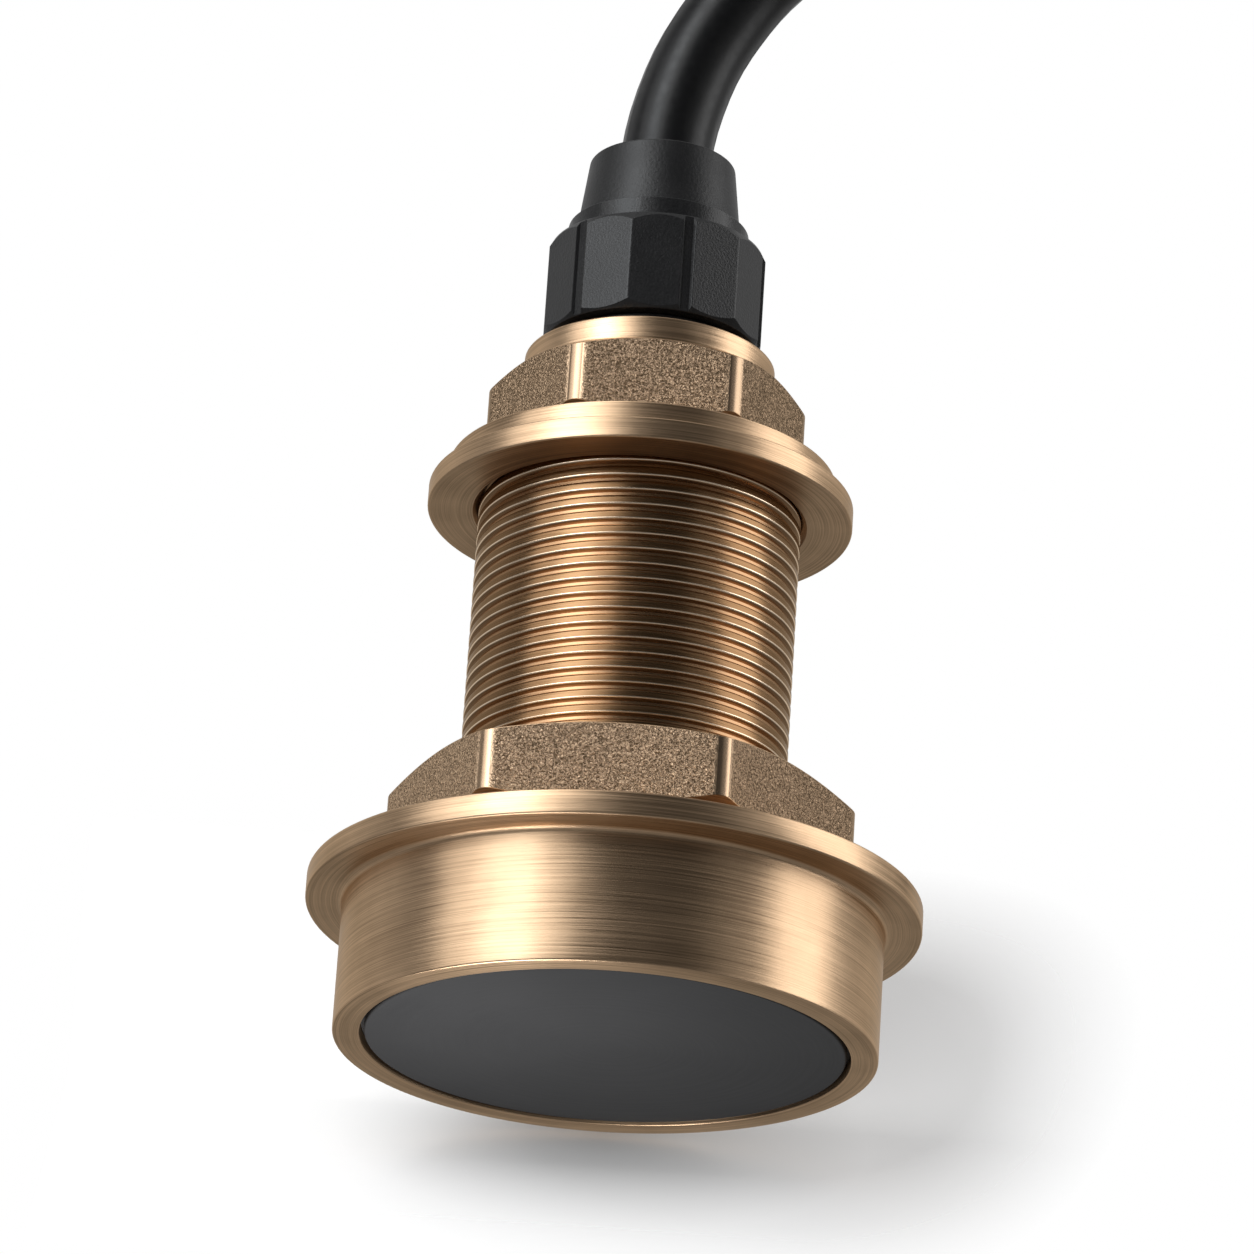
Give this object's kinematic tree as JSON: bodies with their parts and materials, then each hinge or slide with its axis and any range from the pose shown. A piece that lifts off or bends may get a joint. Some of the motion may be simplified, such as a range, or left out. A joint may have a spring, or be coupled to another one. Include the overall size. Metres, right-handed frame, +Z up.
{
  "type": "sonar transducer",
  "caption": "Bronze through-hull sonar transducer with a flanged can, threaded stem, hull nut, stepped ring, hexagon cap and cable gland, its cable tied in a hank.",
  "frame": {"origin": "centre of the sounding face's rim, on the surface that the part stands on", "axes": "+Z up the stem from the sounding face to the cable gland; a flat of each hexagon faces -Y; the cable leaves towards +X"},
  "size_m": [0.3999, 0.1635, 0.2029],
  "materials": {
    "turned_bronze": "turned, fine circular marks",
    "cast_bronze": "cast grain on the flats",
    "face_resin": "satin dark grey",
    "element_ceramic": "fired",
    "cork": "pressed cork",
    "potting_resin": "cast resin",
    "white_insulation": "smooth",
    "black_insulation": "smooth",
    "black_rubber": "satin",
    "black_plastic": "fine grain",
    "cable_jacket": "smooth satin",
    "tie_strap": "woven",
    "insert_plastic": "moulded"
  },
  "bodies": {
    "root": {"transducer_housing": "turned_bronze", "acoustic_window": "face_resin", "piezo_element": "element_ceramic", "cork_cup": "cork", "potting": "potting_resin", "signal_lead": "white_insulation", "ground_lead": "black_insulation", "hull_nut": "cast_bronze", "stepped_ring": "turned_bronze", "stem_cap": "cast_bronze", "cap_seal_ring": "black_rubber", "gland_body": "black_plastic", "gland_seal_sleeve": "black_rubber", "gland_nut": "black_plastic", "strain_relief": "black_rubber", "cable": "cable_jacket", "cable_hank": "cable_jacket", "hank_ties": "tie_strap", "cable_tail": "cable_jacket", "plug_boot": "black_rubber", "plug_body": "black_plastic", "plug_coupling_ring": "black_plastic", "plug_insert": "insert_plastic"}
  },
  "joints": []
}
